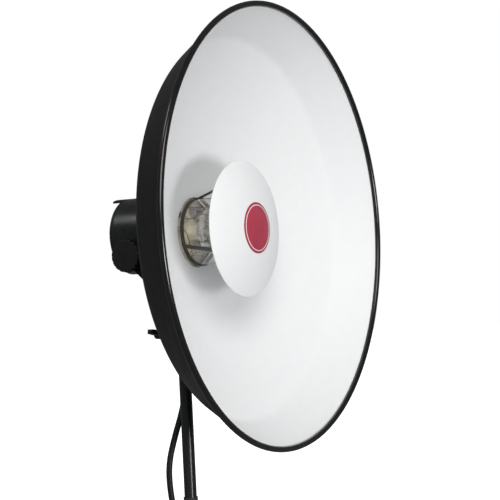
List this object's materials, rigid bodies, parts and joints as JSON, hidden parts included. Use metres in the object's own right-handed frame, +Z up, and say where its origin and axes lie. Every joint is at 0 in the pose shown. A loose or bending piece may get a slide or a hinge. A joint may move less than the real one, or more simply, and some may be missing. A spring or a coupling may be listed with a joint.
{
  "type": "studio flash head with beauty dish",
  "caption": "Studio flash lamp head with a shallow white beauty dish and domed deflector, tilting in a yoke on a round stand pole, with its power cord coiled and tied.",
  "frame": {"origin": "centre of the stand pole's lower end", "axes": "+Z up along the pole, -Y the way the dish faces, +X to the dish's right as seen from in front of it looking along +Y"},
  "size_m": [0.56, 0.284, 0.9],
  "materials": {
    "pole_enamel": "satin black enamel on steel tube",
    "black_enamel": "fine-textured black enamel",
    "body_enamel": "satin black enamel with a faint green cast",
    "white_enamel": "matt white enamel",
    "black_casting": "black enamel on die casting",
    "black_plastic": "moulded, lightly grained",
    "switch_black": "smooth moulded",
    "grey_plastic": "moulded",
    "nylon": "natural nylon",
    "black_rubber": "matt rubber",
    "cord_jacket": "satin rubber jacket",
    "tie_fabric": "woven hook-and-loop strap",
    "clear_glass": "clear borosilicate",
    "quartz": "clear quartz",
    "ceramic": "fired white ceramic",
    "nickel": "nickel plate",
    "steel": "zinc-plated steel",
    "dark_spring_steel": "blackened spring steel",
    "aluminium": "turned aluminium",
    "brass": "turned brass",
    "copper": "bare copper wire",
    "board_green": "solder mask on glass-fibre board",
    "lacquer_red": "lacquered winding",
    "red_print": "screen-printed disc"
  },
  "bodies": {
    "stand_pole": {"pole": "pole_enamel", "pole_foot_plug": "black_plastic", "pole_top_plug": "black_plastic", "pole_band": "black_rubber"},
    "yoke": {"yoke": "black_enamel", "stand_socket": "black_casting", "socket_liner": "nylon", "socket_screws": "steel", "cord_tube": "cord_jacket", "cord_coil": "cord_jacket", "cord_tail": "cord_jacket", "coil_tie": "tie_fabric", "plug_boot": "black_rubber", "plug_shell": "black_plastic", "plug_insert": "grey_plastic", "plug_pins": "brass"},
    "lamp_head": {"glass_dome": "clear_glass", "glass_springs": "steel", "flash_tube": "quartz", "tube_sockets": "ceramic", "trigger_wire": "copper", "trigger_lead": "copper", "lamp_cap": "ceramic", "lamp_capsule": "quartz", "lamp_socket": "ceramic", "base_plate": "ceramic", "terminal_posts": "nickel", "terminal_block": "grey_plastic", "front_ring": "aluminium", "bayonet_pins": "steel", "body_shell": "body_enamel", "pivot_bosses": "black_casting", "pivot_nuts": "steel", "rear_cover": "black_plastic", "cover_screws": "steel", "switch_frame": "black_plastic", "chassis_plate": "aluminium", "chassis_rods": "steel", "fan_frame": "black_plastic", "fan_motor": "grey_plastic", "circuit_board": "board_green", "board_parts": "grey_plastic", "trigger_transformer": "lacquer_red", "thermal_switch": "nickel", "pivot_bolt": "steel", "pivot_washer": "steel", "cord_gland": "black_rubber"},
    "dish": {"reflector_dish": "black_enamel", "mount_collar": "black_casting", "collar_rivets": "white_enamel"},
    "deflector": {"deflector_dome": "white_enamel", "deflector_badge": "red_print", "deflector_clip": "dark_spring_steel", "leg_rivets": "nickel"},
    "dish_screw": {"collar_screw": "nickel"},
    "tilt_handknob": {"tilt_knob": "black_plastic"},
    "wing_bolt": {"wing_screw": "black_plastic"},
    "fan": {"fan_rotor": "black_plastic"},
    "rocker": {"switch_rocker": "switch_black"}
  },
  "joints": [
    {"name": "yoke_swivel", "type": "hinge", "parent": "stand_pole", "child": "yoke", "pos_m": [0, 0, 0.5], "axis": [0, 0, 1], "continuous": true},
    {"name": "head_tilt", "type": "hinge", "parent": "yoke", "child": "lamp_head", "pos_m": [0, 0.036, 0.593], "axis": [-1, 0, 0], "range_deg": [-12, 90], "deforming": ["cord_tube"]},
    {"name": "dish_twist", "type": "hinge", "parent": "lamp_head", "child": "dish", "pos_m": [0, 0, 0.62], "axis": [0, 1, 0], "range_deg": [0, 20]},
    {"name": "deflector_pull", "type": "slide", "parent": "lamp_head", "child": "deflector", "axis": [0, -1, 0], "range_m": [0, 0.07]},
    {"name": "dish_screw_turn", "type": "hinge", "parent": "dish", "child": "dish_screw", "pos_m": [0, -0.0172, 0.62], "axis": [0.2079, 0, 0.9781], "range_deg": [0, 270]},
    {"name": "tilt_knob_turn", "type": "hinge", "parent": "lamp_head", "child": "tilt_handknob", "pos_m": [-0.06, 0.036, 0.593], "axis": [1, 0, 0], "range_deg": [0, 270]},
    {"name": "wing_bolt_turn", "type": "hinge", "parent": "yoke", "child": "wing_bolt", "pos_m": [0, 0.03, 0.49], "axis": [0, 1, 0], "range_deg": [0, 270]},
    {"name": "fan_spin", "type": "hinge", "parent": "lamp_head", "child": "fan", "pos_m": [0, 0.055, 0.62], "axis": [0, 1, 0], "continuous": true},
    {"name": "rocker_press", "type": "hinge", "parent": "lamp_head", "child": "rocker", "pos_m": [0, 0.0716, 0.583], "axis": [0, 0, 1], "range_deg": [-14, 0]}
  ]
}
